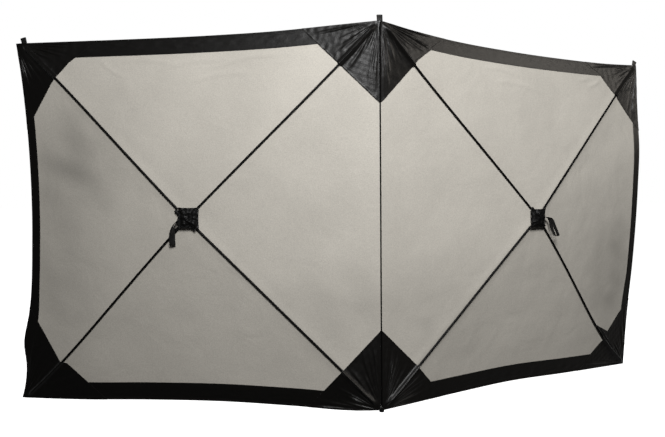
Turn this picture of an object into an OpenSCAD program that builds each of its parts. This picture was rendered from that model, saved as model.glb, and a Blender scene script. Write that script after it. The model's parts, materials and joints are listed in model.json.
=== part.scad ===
// Two-bay beach windbreak. Each bay is a near-square cloth panel carried by four
// poles that spring from a central hub. The bays are joined along an upright seam.
// The seam's axis is x = 0, y = 0, the ground is z = 0, and the hubs bow towards -Y.

/* [Bays] */
// Width of a bay, from the seam to its outer corners
bay_w = 1687; // [1300:1:2100]
// Height of a bay's outer edge
outer_h = 1650; // [1300:1:2000]
// Height of the seam
seam_h = 1690; // [1320:1:2040]
// Height of the cloth above the ground at the seam
seam_clear = 17; // [15:0.5:40]
// Angle between the bays behind the seam, as they stand
corner_angle = 139; // [110:1:170]
// How far a hub stands in front of its bay's corners
hub_bow = 115; // [60:1:180]

/* [Cloth edges] */
// How far the top edge sags at its middle
top_sag = 36; // [0:1:60]
// How far the bottom edge lifts at its middle
bottom_rise = 20; // [0:1:60]
// How far the outer edge pulls in at its middle
side_pull = 36; // [0:1:60]
// Width of the top border
top_band_w = 72; // [40:1:110]
// Width of the bottom border
bottom_band_w = 74; // [40:1:110]
// Width of the outer border
side_band_w = 33; // [20:1:60]
// Length of a corner patch along each edge
patch_leg = 340; // [260:1:420]

/* [Cloth] */
// Thickness of the panel cloth
panel_t = 1.6; // [1:0.1:2.4]
// Thickness of the doubled border cloth
band_t = 2.4; // [1.6:0.1:3]
// Thickness of a corner patch
patch_t = 1.5; // [1:0.1:2.4]
// Radius of the cord sewn into the seam
piping_r = 3; // [2:0.1:4]
// Gap between pieces of cloth that lie side by side or on each other
cloth_gap = 0.5; // [0.3:0.1:0.8]

/* [Poles] */
// Diameter of a pole
pole_d = 9.5; // [8:0.1:11]
// Height of a pole's axis over the cloth
pole_lift = 8.5; // [8:0.1:10]
// Diameter of a pole's end cap
tip_d = 12; // [10:0.1:13]
// Length of a pole's end cap
tip_len = 26; // [18:1:36]
// Distance from a cloth corner to the pole's end
tip_inset = 44; // [44:1:60]

/* [Hub] */
// Radius of the hub disc
hub_r = 32; // [26:0.5:34]
// Thickness of the hub disc
hub_t = 16.7; // [15:0.1:20]
// Diameter of the hub's pole arms
arm_d = 14; // [12:0.1:14.4]
// Distance from the hub's centre to the end of an arm
arm_reach = 62; // [50:1:64]
// Side of the square cloth cover over the hub
pad_side = 104; // [96:1:120]
// Side of the flat middle of the hub cover
pad_flat = 72; // [70:1:76]
// Thickness of the hub cover
pad_t = 1.5; // [1:0.1:2.4]
// Side of the square patch behind the hub
back_side = 120; // [80:1:160]

/* [Webbing] */
// Width of the webbing
web_w = 25; // [20:1:30]
// Thickness of the webbing
web_t = 2; // [1.5:0.1:2.5]
// Length that a pull strap hangs down
strap_drop = 130; // [90:1:160]
// Space inside a pull strap's loop
strap_open = 20; // [18:1:30]
// Height of a guy loop above the cloth
loop_h = 24; // [20:1:36]
// Space inside a guy loop
loop_open = 8; // [7:0.5:12]

/* [Foot] */
// Radius of the foot under the seam
foot_r = 11; // [8:0.5:14]
// Radius of the foot's flat underside
foot_flat_r = 7; // [5:0.5:7.5]

/* [Hidden] */

left = -1;
right = 1;
cloth_light = [0.74, 0.71, 0.67];
cloth_black = [0.09, 0.09, 0.09];
pole_black = [0.03, 0.03, 0.03];
plastic_black = [0.06, 0.06, 0.06];

$fn = 48;
edge_steps = 12;
bay_turn = (180 - corner_angle) / 2;
seam_gap = piping_r + cloth_gap;

// A bay is drawn flat: u runs from the seam to the outer edge, z up. Its corners:
top_seam = [seam_gap, seam_h];
top_outer = [bay_w, outer_h];
bottom_outer = [bay_w, 0];
bottom_seam = [seam_gap, seam_clear];
corners = [top_seam, top_outer, bottom_outer, bottom_seam];
hub_at = [bay_w / 2, (outer_h + seam_h + seam_clear) / 4];

function mix(a, b, t) = a + (b - a) * t;
function cross2(a, b) = a[0] * b[1] - a[1] * b[0];
function bulge(t) = 4 * t * (1 - t);

// How far along the line from a to b it crosses the pole's line to a corner
function crossing(a, b, corner) =
    cross2(corner - a, corner - hub_at) / cross2(b - a, corner - hub_at);

// How far out a point lies: 0 at the hub, 1 on the straight line between two corners
function reach_to(p, a, b) = cross2(p - hub_at, b - a) / cross2(a - hub_at, b - a);
function reach(p) = max([for (k = [0:3]) reach_to(p, corners[k], corners[(k + 1) % 4])]);

// The borders' middle surface is a low pyramid whose tip is at the hub. Its back lies
// in the upright plane through the seam's axis, so the bays can fold back to back.
function bow(p) = hub_bow * (1 - reach(p)) + band_t / 2;
function spot(p, lift) = [p[0], -bow(p) - lift, p[1]];
hub_front = bow(hub_at);

// The curved edges, each from its first corner to its last
function top_edge(t) = mix(top_seam, top_outer, t) - [0, top_sag * bulge(t)];
function bottom_edge(t) = mix(bottom_seam, bottom_outer, t) + [0, bottom_rise * bulge(t)];
function side_edge(t) = mix(bottom_outer, top_outer, t) - [side_pull * bulge(t), 0];
function seam_edge(t) = mix(bottom_seam, top_seam, t);

// Lines inside the borders
function side_u(z) = side_edge(z / outer_h)[0];
function under_top(t) =
    let (low = outer_h - top_band_w, end = mix(seam_gap, side_u(low), t))
    [end, top_edge((end - seam_gap) / (bay_w - seam_gap))[1] - top_band_w];
function over_bottom(t) =
    let (end = mix(seam_gap, side_u(bottom_band_w), t))
    [end, bottom_edge((end - seam_gap) / (bay_w - seam_gap))[1] + bottom_band_w];
function inside_side(t) = side_edge(t) - [side_band_w, 0];

// Puts a bay's drawing in its place on the left or on the right of the seam
module in_bay(side) {
    mirror([side < 0 ? 1 : 0, 0, 0]) rotate([0, 0, bay_turn]) children();
}

// A sheet of cloth over a grid of [u, z, lift] rows, the same thickness all over
module sheet(grid, thick) {
    rows = len(grid);
    cols = len(grid[0]);
    function at(i, j) = i * cols + j;
    count = rows * cols;
    flip = cross2(grid[0][cols - 1] - grid[0][0], grid[rows - 1][0] - grid[0][0]) > 0;
    flat_grid = [for (row = grid) each row];
    points = concat(
        [for (g = flat_grid) spot([g[0], g[1]], g[2] + thick / 2)],
        [for (g = flat_grid) spot([g[0], g[1]], g[2] - thick / 2)]
    );
    cells = [for (i = [0:rows - 2], j = [0:cols - 2]) [i, j]];
    front = [for (c = cells) each [
        [at(c[0], c[1]), at(c[0], c[1] + 1), at(c[0] + 1, c[1] + 1)],
        [at(c[0], c[1]), at(c[0] + 1, c[1] + 1), at(c[0] + 1, c[1])]
    ]];
    rim = concat(
        [for (j = [0:cols - 2]) [at(0, j), at(0, j + 1)]],
        [for (i = [0:rows - 2]) [at(i, cols - 1), at(i + 1, cols - 1)]],
        [for (j = [cols - 1:-1:1]) [at(rows - 1, j), at(rows - 1, j - 1)]],
        [for (i = [rows - 1:-1:1]) [at(i, 0), at(i - 1, 0)]]
    );
    faces = concat(
        front,
        [for (f = front) [f[2] + count, f[1] + count, f[0] + count]],
        [for (e = rim) each [
            [e[1], e[0], e[0] + count],
            [e[1], e[0] + count, e[1] + count]
        ]]
    );
    polyhedron(points, flip ? [for (f = faces) [f[2], f[1], f[0]]] : faces);
}

// A sheet of cloth stretched from the hub to a closed outline that runs clockwise
module fan_sheet(outline, lift, thick) {
    count = len(outline);
    over = lift + thick / 2;
    under = lift - thick / 2;
    points = concat(
        [for (p = outline) spot(p, over)],
        [for (p = outline) spot(p, under)],
        [spot(hub_at, over), spot(hub_at, under)]
    );
    faces = [for (i = [0:count - 1]) let (k = (i + 1) % count) each [
        [2 * count, i, k],
        [2 * count + 1, k + count, i + count],
        [k, i, i + count],
        [k, i + count, k + count]
    ]];
    polyhedron(points, faces);
}

// A straight round bar between two points
module bar(from, to, d) {
    run = to - from;
    translate(from)
        rotate([0, acos(run[2] / norm(run)), atan2(run[1], run[0])])
            cylinder(h = norm(run), d = d);
}

// The light cloth, cut off at each corner under the corner patch
module panel(side) {
    steps = [for (i = [0:edge_steps]) mix(0.1, 0.9, i / edge_steps)];
    top_line = [for (t = steps) under_top(t) - [0, cloth_gap]];
    side_line = [for (t = steps) inside_side(1 - t) - [cloth_gap, 0]];
    bottom_line = [for (t = steps) over_bottom(1 - t) + [0, cloth_gap]];
    seam_line = [for (t = steps) seam_edge(t)];
    function cut(before, after, corner) =
        let (a = before[edge_steps], b = after[0]) mix(a, b, crossing(a, b, corner));
    outline = [
        each top_line, cut(top_line, side_line, top_outer),
        each side_line, cut(side_line, bottom_line, bottom_outer),
        each bottom_line, cut(bottom_line, seam_line, bottom_seam),
        each seam_line, cut(seam_line, top_line, top_seam)
    ];
    color(cloth_light) in_bay(side) fan_sheet(outline, 0, panel_t);
}

// A border between an edge line and the line inside it, given as lists of points
module border(side, edge, inner) {
    color(cloth_black) in_bay(side)
        sheet([for (row = [edge, inner]) [for (p = row) [p[0], p[1], 0]]], band_t);
}

module top_band(side) {
    steps = [for (i = [0:edge_steps]) i / edge_steps];
    border(side, [for (t = steps) top_edge(t)], [for (t = steps) under_top(t)]);
}

module bottom_band(side) {
    steps = [for (i = [0:edge_steps]) i / edge_steps];
    border(side, [for (t = steps) over_bottom(t)], [for (t = steps) bottom_edge(t)]);
}

module side_band(side) {
    inner = 1 - side_band_w / bay_w;
    low = (max(over_bottom(1)[1], over_bottom(inner)[1]) + cloth_gap) / outer_h;
    high = (min(under_top(1)[1], under_top(inner)[1]) - cloth_gap) / outer_h;
    steps = [for (i = [0:edge_steps]) mix(low, high, i / edge_steps)];
    border(side, [for (t = steps) side_edge(t)], [for (t = steps) inside_side(t)]);
}

// A corner patch is a tent over its pole's end: it lies on the borders along both
// edges and rises to clear the end cap along the pole's line
patch_rest = band_t / 2 + cloth_gap + patch_t / 2;
patch_top = pole_lift + tip_d / 2 + 2 * cloth_gap + patch_t / 2;
patch_ridge = 5;
patch_rows = [0.06, 0.15, 0.3, 0.5, 0.75, 1];

module corner_patch(side, corner, first_ends, second_ends) {
    grid = [for (i = [0:len(patch_rows) - 1])
        let (
            a = first_ends[i],
            b = second_ends[i],
            across = norm(b - a),
            middle = crossing(a, b, corner),
            ridge = patch_ridge / across,
            top = i == 0 ? patch_rest : patch_top
        )
        [
            [each a, patch_rest],
            [each mix(a, b, middle - ridge), top],
            [each mix(a, b, middle + ridge), top],
            [each b, patch_rest]
        ]];
    color(cloth_black) in_bay(side) sheet(grid, patch_t);
}

edge_share = patch_leg / bay_w;
side_share = patch_leg / outer_h;
seam_share = patch_leg / seam_h;

module top_outer_patch(side) {
    corner_patch(side, top_outer,
        [for (r = patch_rows) top_edge(1 - r * edge_share)],
        [for (r = patch_rows) side_edge(1 - r * side_share)]);
}

module top_seam_patch(side) {
    corner_patch(side, top_seam,
        [for (r = patch_rows) top_edge(r * edge_share)],
        [for (r = patch_rows) seam_edge(1 - r * seam_share)]);
}

module bottom_outer_patch(side) {
    corner_patch(side, bottom_outer,
        [for (r = patch_rows) bottom_edge(1 - r * edge_share)],
        [for (r = patch_rows) side_edge(r * side_share)]);
}

module bottom_seam_patch(side) {
    corner_patch(side, bottom_seam,
        [for (r = patch_rows) bottom_edge(r * edge_share)],
        [for (r = patch_rows) seam_edge(r * seam_share)]);
}

// A point on a pole's axis, that far from the hub towards a corner
function on_pole(corner, far) =
    spot(hub_at + (corner - hub_at) * far / norm(corner - hub_at), pole_lift);
function tip_far(corner) = norm(corner - hub_at) - tip_inset;

module pole(side, corner) {
    color(pole_black) in_bay(side)
        bar(on_pole(corner, arm_reach + cloth_gap),
            on_pole(corner, tip_far(corner) - tip_len - cloth_gap), pole_d);
}

// End caps on the four poles of a bay
module pole_tips(side) {
    color(plastic_black) in_bay(side)
        for (corner = corners)
            bar(on_pole(corner, tip_far(corner) - tip_len),
                on_pole(corner, tip_far(corner)), tip_d);
}

// The hub's front face, and the hub: a disc with four arms that the poles spring from
hub_face = hub_front + panel_t / 2 + cloth_gap + hub_t;

module hub(side) {
    color(plastic_black) in_bay(side) union() {
        translate([hub_at[0], hub_t - hub_face, hub_at[1]])
            rotate([90, 0, 0])
                cylinder(h = hub_t, r = hub_r);
        for (corner = corners)
            bar(on_pole(corner, hub_r / 2), on_pole(corner, arm_reach), arm_d);
    }
}

pad_drop = 8;
pad_front = hub_face + cloth_gap + pad_t;

// The square cloth cover over the hub: flat over the disc, lower along its edges
module hub_pad(side) {
    marks = [-pad_side / 2, -pad_flat / 2, pad_flat / 2, pad_side / 2];
    middle = pad_front - pad_t / 2;
    grid = [for (i = [3:-1:0]) [for (j = [0:3])
        let (
            p = hub_at + [marks[j], marks[i]],
            inner = (i == 1 || i == 2) && (j == 1 || j == 2)
        )
        [p[0], p[1], middle - (inner ? 0 : pad_drop) - bow(p)]
    ]];
    color(cloth_black) in_bay(side) sheet(grid, pad_t);
}

// The square patch sewn behind the hub
module back_patch(side) {
    half = back_side / 2;
    outline = [for (c = [[-1, 1], [1, 1], [1, -1], [-1, -1]]) hub_at + c * half];
    color(cloth_black) in_bay(side)
        fan_sheet(outline, -panel_t / 2 - cloth_gap - patch_t / 2, patch_t);
}

// The pull strap: webbing from the middle of the hub cover to a hanging loop
module pull_strap(side) {
    back = pad_front + cloth_gap;
    deep = strap_open + 2 * web_t;
    out = hub_at[0] + pad_side / 2;
    color(cloth_black) in_bay(side) union() {
        translate([hub_at[0], -back - web_t, hub_at[1] - web_w / 2])
            cube([pad_side / 2 + web_w, web_t, web_w]);
        translate([out, -back, hub_at[1] + web_w / 2])
            rotate([0, 90, 0])
                linear_extrude(web_w)
                    translate([0, -deep])
                        strap_outline(deep);
    }
}

// The loop of a pull strap from its side: two legs and a round bottom
module strap_outline(deep) {
    long = strap_drop + web_w;
    bend = deep / 2;
    difference() {
        union() {
            square([long - bend, deep]);
            translate([long - bend, bend]) circle(r = bend);
        }
        translate([web_t, web_t]) square([long - bend - web_t, strap_open]);
        translate([long - bend, bend]) circle(r = bend - web_t);
    }
}

// A guy loop from its side: two legs with a round top
module guy_loop_outline() {
    wide = loop_open + 2 * web_t;
    difference() {
        union() {
            translate([-wide / 2, 0]) square([wide, loop_h - wide / 2]);
            translate([0, loop_h - wide / 2]) circle(d = wide);
        }
        translate([-loop_open / 2, web_t]) square([loop_open, loop_h - wide / 2 - web_t]);
        translate([0, loop_h - wide / 2]) circle(d = loop_open);
    }
}

module guy_loop() {
    color(cloth_black)
        translate([-web_w / 2, 0, 0])
            rotate([90, 0, 90])
                linear_extrude(web_w)
                    guy_loop_outline();
}

// Height of a guy loop that stands on the top hem between two distances from the seam
function loop_base(ends) =
    max([for (u = ends) top_edge((u - seam_gap) / (bay_w - seam_gap))[1]]) + cloth_gap;

// The guy loop on a bay's top outer corner, just inside the corner
module outer_guy_loop(side) {
    middle = bay_w - web_w;
    base = loop_base([middle - web_w / 2, middle + web_w / 2]);
    translate([side * middle * cos(bay_turn), middle * sin(bay_turn), base])
        guy_loop();
}

module seam_guy_loop() {
    reach = norm([web_w / 2, loop_open / 2 + web_t]);
    translate([0, 0, loop_base([seam_gap, reach])]) guy_loop();
}

module seam_piping() {
    color(pole_black)
        translate([0, 0, seam_clear])
            cylinder(h = seam_h - seam_clear, r = piping_r);
}

// The rounded foot under the seam
module seam_foot() {
    high = seam_clear - cloth_gap;
    round_h = foot_r - foot_flat_r;
    color(plastic_black)
        rotate_extrude()
            intersection() {
                union() {
                    translate([0, round_h]) square([foot_r, high - round_h]);
                    square([foot_flat_r, high]);
                    translate([foot_flat_r, round_h]) circle(r = round_h);
                }
                square([foot_r, high]);
            }
}

panel(left);  // left_panel
top_band(left);  // left_top_band
bottom_band(left);  // left_bottom_band
side_band(left);  // left_side_band
top_outer_patch(left);  // left_top_outer_patch
top_seam_patch(left);  // left_top_seam_patch
bottom_outer_patch(left);  // left_bottom_outer_patch
bottom_seam_patch(left);  // left_bottom_seam_patch
hub(left);  // left_hub
hub_pad(left);  // left_hub_pad
back_patch(left);  // left_back_patch
pull_strap(left);  // left_pull_strap
pole(left, top_outer);  // left_top_outer_pole
pole(left, top_seam);  // left_top_seam_pole
pole(left, bottom_outer);  // left_bottom_outer_pole
pole(left, bottom_seam);  // left_bottom_seam_pole
pole_tips(left);  // left_pole_tips
outer_guy_loop(left);  // left_guy_loop
panel(right);  // right_panel
top_band(right);  // right_top_band
bottom_band(right);  // right_bottom_band
side_band(right);  // right_side_band
top_outer_patch(right);  // right_top_outer_patch
top_seam_patch(right);  // right_top_seam_patch
bottom_outer_patch(right);  // right_bottom_outer_patch
bottom_seam_patch(right);  // right_bottom_seam_patch
hub(right);  // right_hub
hub_pad(right);  // right_hub_pad
back_patch(right);  // right_back_patch
pull_strap(right);  // right_pull_strap
pole(right, top_outer);  // right_top_outer_pole
pole(right, top_seam);  // right_top_seam_pole
pole(right, bottom_outer);  // right_bottom_outer_pole
pole(right, bottom_seam);  // right_bottom_seam_pole
pole_tips(right);  // right_pole_tips
outer_guy_loop(right);  // right_guy_loop
seam_piping();
seam_foot();
seam_guy_loop();
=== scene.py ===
"""A pop-up beach windbreak: two square cloth bays on sprung poles that fold along the seam between them."""

import json
import logging
import math
from collections.abc import Callable
from dataclasses import dataclass
from enum import Enum

import bmesh
import bpy
import numpy as np
from mathutils import Matrix, Vector

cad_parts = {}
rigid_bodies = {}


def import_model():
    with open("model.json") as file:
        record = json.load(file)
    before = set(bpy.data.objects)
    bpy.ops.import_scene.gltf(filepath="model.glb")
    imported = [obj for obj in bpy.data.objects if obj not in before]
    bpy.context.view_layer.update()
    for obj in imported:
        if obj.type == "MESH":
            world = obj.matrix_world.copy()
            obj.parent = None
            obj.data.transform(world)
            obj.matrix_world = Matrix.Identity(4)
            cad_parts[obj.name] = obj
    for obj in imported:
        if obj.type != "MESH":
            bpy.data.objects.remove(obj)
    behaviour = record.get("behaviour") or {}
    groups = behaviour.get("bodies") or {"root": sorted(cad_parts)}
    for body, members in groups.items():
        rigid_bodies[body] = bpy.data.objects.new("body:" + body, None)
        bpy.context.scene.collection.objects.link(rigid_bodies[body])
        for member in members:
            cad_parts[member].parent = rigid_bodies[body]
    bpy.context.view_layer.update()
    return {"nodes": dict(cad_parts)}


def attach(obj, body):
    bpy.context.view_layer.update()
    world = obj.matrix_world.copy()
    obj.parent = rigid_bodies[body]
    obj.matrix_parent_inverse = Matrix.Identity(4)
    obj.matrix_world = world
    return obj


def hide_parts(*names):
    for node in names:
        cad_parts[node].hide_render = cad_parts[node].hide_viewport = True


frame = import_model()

log = logging.getLogger("windbreak")
MM = 0.001
Array = np.ndarray
Knots = tuple[tuple[float, float], ...]

# The CAD model's driving sizes, in millimetres, and the angle between its bays in degrees
BAY_W = 1687.0
OUTER_H = 1650.0
SEAM_H = 1690.0
SEAM_CLEAR = 17.0
SEAM_GAP = 3.5
CORNER_ANGLE = 139.0
HUB_BOW = 115.0


class Side(Enum):
    """Which bay, seen from the front. The value is the direction of its outer edge along X."""

    LEFT = -1
    RIGHT = 1

    @property
    def word(self) -> str:
        """The bay's name in piece and body names."""
        return self.name.lower()

    @property
    def body(self) -> str:
        """The CAD body that the bay's pieces move with."""
        return f"{self.word}_bay"


class Corner(Enum):
    """The corners of a bay, in millimetres from the seam and the ground."""

    TOP_SEAM = (SEAM_GAP, SEAM_H)
    TOP_OUTER = (BAY_W, OUTER_H)
    BOTTOM_OUTER = (BAY_W, 0.0)
    BOTTOM_SEAM = (SEAM_GAP, SEAM_CLEAR)

    @property
    def word(self) -> str:
        """The corner's name in piece names."""
        return self.name.lower()

    @property
    def is_top(self) -> bool:
        """Whether the corner is on the top edge."""
        return self.value[1] > OUTER_H / 2

    @property
    def is_outer(self) -> bool:
        """Whether the corner is on the outer edge."""
        return self.value[0] > BAY_W / 2


RING = tuple(Corner)
HUB = np.array([BAY_W / 2, (OUTER_H + SEAM_H + SEAM_CLEAR) / 4])
TURN = math.radians((180 - CORNER_ANGLE) / 2)
# The cloth's seam edge, the cloth's height in front of the corners' plane, the lowest
# that a hem may hang, how far a panel tucks back behind the seam patches, and the
# heights of those patches' tips
SEAM_U = 3.0
CLOTH_BASE = 1.2
LOWEST_HEM = 1.6
SEAM_TUCK = 7.0
PATCH_TIPS = (342.0, 1358.0)
TIP_BLEND = 6.0
# Height of the folds in a slack patch and in a tight one
SLACK_FOLDS = 7.0
TIGHT_FOLDS = 4.0


def eased(knots: Knots, x: Array) -> Array:
    """A smooth curve through knots.

    Args:
        knots: Pairs of place and value, in rising order of place.
        x: The places to read.

    Returns:
        The curve's value at each place, level beyond the ends.
    """
    xs, ys = np.array(knots, float).T
    slope = np.gradient(ys, xs)
    x = np.clip(x, xs[0], xs[-1])
    i = np.clip(np.searchsorted(xs, x) - 1, 0, len(xs) - 2)
    h = xs[i + 1] - xs[i]
    t = (x - xs[i]) / h
    return (
        (2 * t**3 - 3 * t**2 + 1) * ys[i]
        + (t**3 - 2 * t**2 + t) * h * slope[i]
        + (3 * t**2 - 2 * t**3) * ys[i + 1]
        + (t**3 - t**2) * h * slope[i + 1]
    )


def ramp(x: Array, low: float, high: float) -> Array:
    """A soft step.

    Args:
        x: The values to step.
        low: Where the step starts.
        high: Where the step ends.

    Returns:
        0 before low, 1 after high, and an easy curve between.
    """
    t = np.clip((x - low) / (high - low), 0, 1)
    return t * t * (3 - 2 * t)


def swell(x: Array, y: Array, seed: int, longest: float, count: int = 9) -> Array:
    """Gentle unevenness, from a few crossing waves.

    Args:
        x: First coordinate, in millimetres.
        y: Second coordinate, in millimetres.
        seed: Picks the waves.
        longest: The longest wave, in millimetres.
        count: How many waves cross.

    Returns:
        Heights from about -1 to 1.
    """
    rng = np.random.default_rng(seed)
    total = np.zeros_like(x, dtype=float)
    for _ in range(count):
        angle, phase = rng.uniform(0, math.pi), rng.uniform(0, 2 * math.pi)
        pitch = longest * rng.uniform(0.35, 1)
        along = x * math.cos(angle) + y * math.sin(angle)
        total += np.sin(2 * math.pi * along / pitch + phase)
    return total / math.sqrt(count) / 1.4


def unit_rows(rows: Array) -> Array:
    """Rows of numbers scaled to length 1."""
    return rows / np.linalg.norm(rows, axis=1)[:, None]


@dataclass(frozen=True)
class Stance:
    """How one bay hangs. Edge curves are in millimetres from the straight lines between its corners.

    Attributes:
        top: Rise of the top edge along the bay.
        bottom: Rise of the bottom edge along the bay.
        outer: Shift of the outer edge away from the seam, up the bay.
        forward: How far the outer edge stands to the front, up the bay.
        moved: Shift of each corner and of the hub, outwards, to the front and up.
        top_width: Width of the top band.
        bottom_width: Width of the bottom band.
        bends: Sideways bend of each corner's pole.
    """

    top: Knots
    bottom: Knots
    outer: Knots
    forward: Knots
    moved: dict[Corner | None, tuple[float, float, float]]
    top_width: float
    bottom_width: float
    bends: dict[Corner, float]


@dataclass
class BayCloth:
    """The shape of one bay's cloth: four gores between the hub and the corners.

    Attributes:
        side: Which bay it is.
        stance: How it hangs.
        side_width: Width of the outer band, in millimetres.
    """

    side: Side
    stance: Stance
    side_width: float = 43.0

    def shares(self, u: Array, z: Array) -> tuple[Array, Array, Array, Array]:
        """Splits points between the hub and the two corners of their gore.

        Args:
            u: Distances from the seam.
            z: Heights.

        Returns:
            The gore's number, and the shares of its first corner, its second corner and the hub.
        """
        found = []
        for i, first in enumerate(RING):
            a, b = np.array(first.value), np.array(RING[(i + 1) % 4].value)
            m = np.linalg.inv(np.column_stack([a - HUB, b - HUB]))
            du, dz = u - HUB[0], z - HUB[1]
            found.append((m[0, 0] * du + m[0, 1] * dz, m[1, 0] * du + m[1, 1] * dz))
        both = np.array(found)
        gore = np.argmax(both.min(axis=1), axis=0)
        pick = np.arange(len(gore))
        wa, wb = both[gore, 0, pick], both[gore, 1, pick]
        return gore, wa, wb, 1 - wa - wb

    def place(self, u: Array, z: Array, v: Array) -> Array:
        """Puts points of the bay where they stand.

        Args:
            u: Distances from the seam.
            z: Heights.
            v: Distances to the front of the plane between the corners.

        Returns:
            Points in metres, one a row.
        """
        gore, wa, wb, wh = self.shares(u, z)
        moves = np.array([self.stance.moved[c] for c in RING])
        shift = wa[:, None] * moves[gore] + wb[:, None] * moves[(gore + 1) % 4]
        shift += wh[:, None] * np.array(self.stance.moved[None])
        u, v, z = u + shift[:, 0], v + shift[:, 1], z + shift[:, 2]
        x = self.side.value * (u * math.cos(TURN) + v * math.sin(TURN))
        y = u * math.sin(TURN) - v * math.cos(TURN)
        return np.column_stack([x, y, z]) * MM

    def level(self, u: Array, z: Array) -> Array:
        """How far the cloth's middle stands to the front, without its creases.

        Args:
            u: Distances from the seam.
            z: Heights.

        Returns:
            Distances to the front of the plane between the corners.
        """
        gore, wa, wb, _ = self.shares(u, z)
        reach = wa + wb
        height = OUTER_H * wa / np.maximum(reach, 1e-6)
        bulge = np.where(gore == 1, eased(self.stance.forward, height) * reach**2, 0)
        return HUB_BOW * (1 - reach) + CLOTH_BASE + bulge

    def on_cloth(self, u: Array, z: Array, lift: Array) -> Array:
        """Points at a height in front of the cloth's middle."""
        return self.place(u, z, self.level(u, z) + lift)

    def edge_z(self, u: Array, top: bool) -> Array:
        """Height of the top or the bottom edge.

        Args:
            u: Distances from the seam.
            top: Whether it is the top edge.

        Returns:
            The edge's height at each distance.
        """
        share = (u - SEAM_GAP) / (BAY_W - SEAM_GAP)
        if top:
            return SEAM_H - (SEAM_H - OUTER_H) * share + eased(self.stance.top, u)
        straight = SEAM_CLEAR * (1 - share)
        return np.maximum(straight + eased(self.stance.bottom, u), LOWEST_HEM)

    def edge_u(self, z: Array, outer: bool) -> Array:
        """Distance from the seam of the outer edge or the seam edge.

        Args:
            z: Heights.
            outer: Whether it is the outer edge.

        Returns:
            The edge's distance at each height.
        """
        if outer:
            return BAY_W + eased(self.stance.outer, z)
        return np.full_like(z, SEAM_U)

    def tip(self, corner: Corner) -> Array:
        """Where the cloth's edges meet at a corner.

        Args:
            corner: The corner.

        Returns:
            The place's distance from the seam and its height.
        """
        z = np.array([corner.value[1]])
        u = self.edge_u(z, corner.is_outer)
        return np.array([u[0], self.edge_z(u, corner.is_top)[0]])

    def pole_bend(self, corner: Corner, along: Array) -> Array:
        """Sideways bend of a pole at shares of the way from the hub to the corner."""
        return self.stance.bends[corner] * np.sin(math.pi * np.clip(along, 0, 1) ** 2.1)

    def off_pole(self, corner: Corner, u: Array, z: Array) -> tuple[Array, Array]:
        """Measures points against a pole.

        Args:
            corner: The corner that the pole runs to.
            u: Distances from the seam.
            z: Heights.

        Returns:
            The share of the way from the hub to the corner, and the distance beside the pole.
        """
        line = np.array(corner.value) - HUB
        length = np.linalg.norm(line)
        line = line / length
        du, dz = u - HUB[0], z - HUB[1]
        along = (du * line[0] + dz * line[1]) / length
        beside = -du * line[1] + dz * line[0]
        return along, beside - self.pole_bend(corner, along)


Placer = Callable[[Array, Array, Array], Array]


def dress(piece: bpy.types.Object, finish: "Finish") -> None:
    """Gives a piece one finish all over."""
    piece.data.materials.clear()
    piece.data.materials.append(finish.material())


def hand_over(
    piece: bpy.types.Object, finish: "Finish", body: str, node: str
) -> None:
    """Finishes a piece and ties it to the frame.

    Args:
        piece: The piece.
        finish: Its finish.
        body: The body that it moves with.
        node: The CAD node that it takes the place of.
    """
    dress(piece, finish)
    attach(piece, body)
    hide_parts(node)


def add_piece(
    name: str, bm: bmesh.types.BMesh, chart: Array | None = None, sharp: float = 38
) -> bpy.types.Object:
    """Makes an object of a finished bmesh and frees it.

    Args:
        name: The piece's name.
        bm: Its shape, in metres.
        chart: Flat coordinates of its vertices, in metres, for patterns that follow the cloth.
        sharp: Edges that turn by more degrees than this stay sharp.

    Returns:
        The new object.
    """
    bmesh.ops.recalc_face_normals(bm, faces=bm.faces)
    mesh = bpy.data.meshes.new(name)
    bm.to_mesh(mesh)
    bm.free()
    if chart is not None:
        layer = mesh.uv_layers.new(name="cloth")
        loops = np.zeros(len(mesh.loops), np.int32)
        mesh.loops.foreach_get("vertex_index", loops)
        layer.data.foreach_set("uv", chart[loops].astype(np.float32).ravel())
    mesh.shade_smooth()
    mesh.set_sharp_from_angle(angle=math.radians(sharp))
    piece = bpy.data.objects.new(name, mesh)
    bpy.context.scene.collection.objects.link(piece)
    return piece


def woven(
    name: str,
    steps: tuple[int, int],
    placer: Placer,
    chart: Callable[[Array, Array], Array] | None = None,
    crossed: bool = False,
    joined: float = 0.0,
) -> bpy.types.Object:
    """Makes a closed sheet of cloth, webbing or hem from a flat grid that has two faces.

    Args:
        name: The piece's name.
        steps: Grid steps along and across.
        placer: Turns the grid's two coordinates from -1 to 1, and its face, -1 or 1, into points.
        chart: Turns the grid's coordinates into flat ones for patterns.
        crossed: Whether the grid is cut along its diagonals.
        joined: Points nearer than this are joined, in metres.

    Returns:
        The new object.
    """
    bm = bmesh.new()
    bmesh.ops.create_grid(bm, x_segments=steps[0], y_segments=steps[1], size=1)
    if crossed:
        for turn in (1, -1):
            everything = [*bm.verts, *bm.edges, *bm.faces]
            bmesh.ops.bisect_plane(
                bm, geom=everything, dist=1e-6, plane_co=(0, 0, 0), plane_no=(1, turn, 0)
            )
    bmesh.ops.solidify(bm, geom=bm.faces[:], thickness=0.5)
    flat = np.array([v.co for v in bm.verts])
    middle = (flat[:, 2].max() + flat[:, 2].min()) / 2
    face = np.sign(flat[:, 2] - middle)
    points = placer(flat[:, 0], flat[:, 1], face)
    for vert, point in zip(bm.verts, points):
        vert.co = point
    laid = None if chart is None else chart(flat[:, 0], flat[:, 1])
    if joined:
        bmesh.ops.remove_doubles(bm, verts=bm.verts[:], dist=joined)
        laid = None
    return add_piece(name, bm, laid)


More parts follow.
